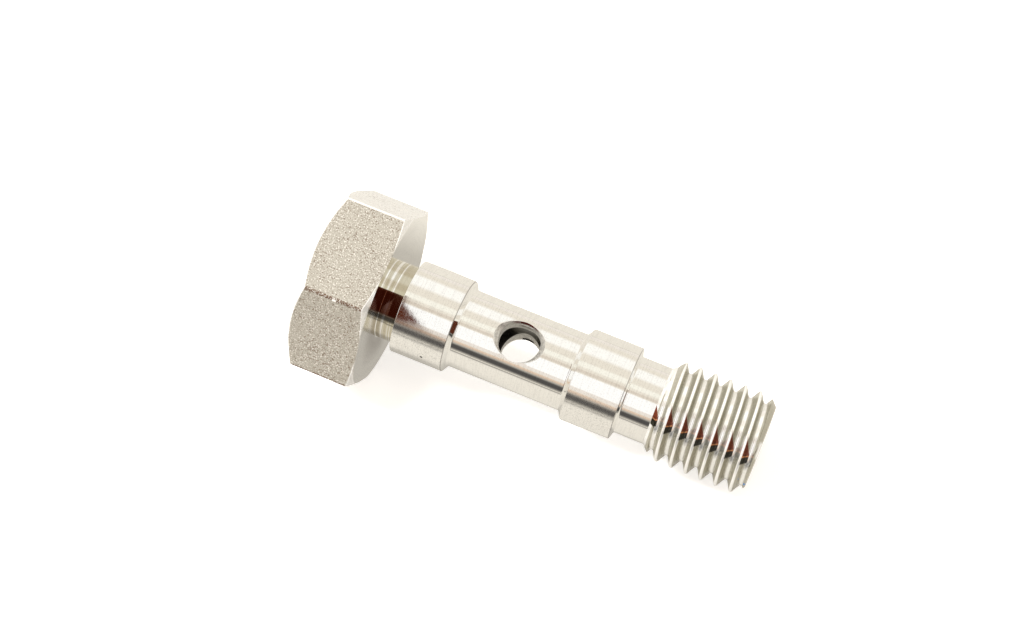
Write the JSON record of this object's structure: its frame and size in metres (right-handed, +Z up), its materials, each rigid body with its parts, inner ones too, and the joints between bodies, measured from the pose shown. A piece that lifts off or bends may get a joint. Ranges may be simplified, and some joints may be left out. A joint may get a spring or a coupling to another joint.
{
  "type": "banjo bolt",
  "caption": "Hex-headed banjo bolt with two lands, a cross port into an axial bore, and a threaded tip, lying on a flat of its head.",
  "frame": {"origin": "centre of the bolt's footprint, on the surface that it lies on", "axes": "+X runs from the head to the tip, +Z is up, and +Y completes a right-handed frame; the bolt's own axis dips about 5.5 degrees towards the tip"},
  "size_m": [0.046, 0.0196, 0.0176],
  "materials": {
    "steel": "turned bright steel, fine-grained on the head's flats"
  },
  "bodies": {
    "root": {"banjo_bolt": "steel"}
  },
  "joints": []
}
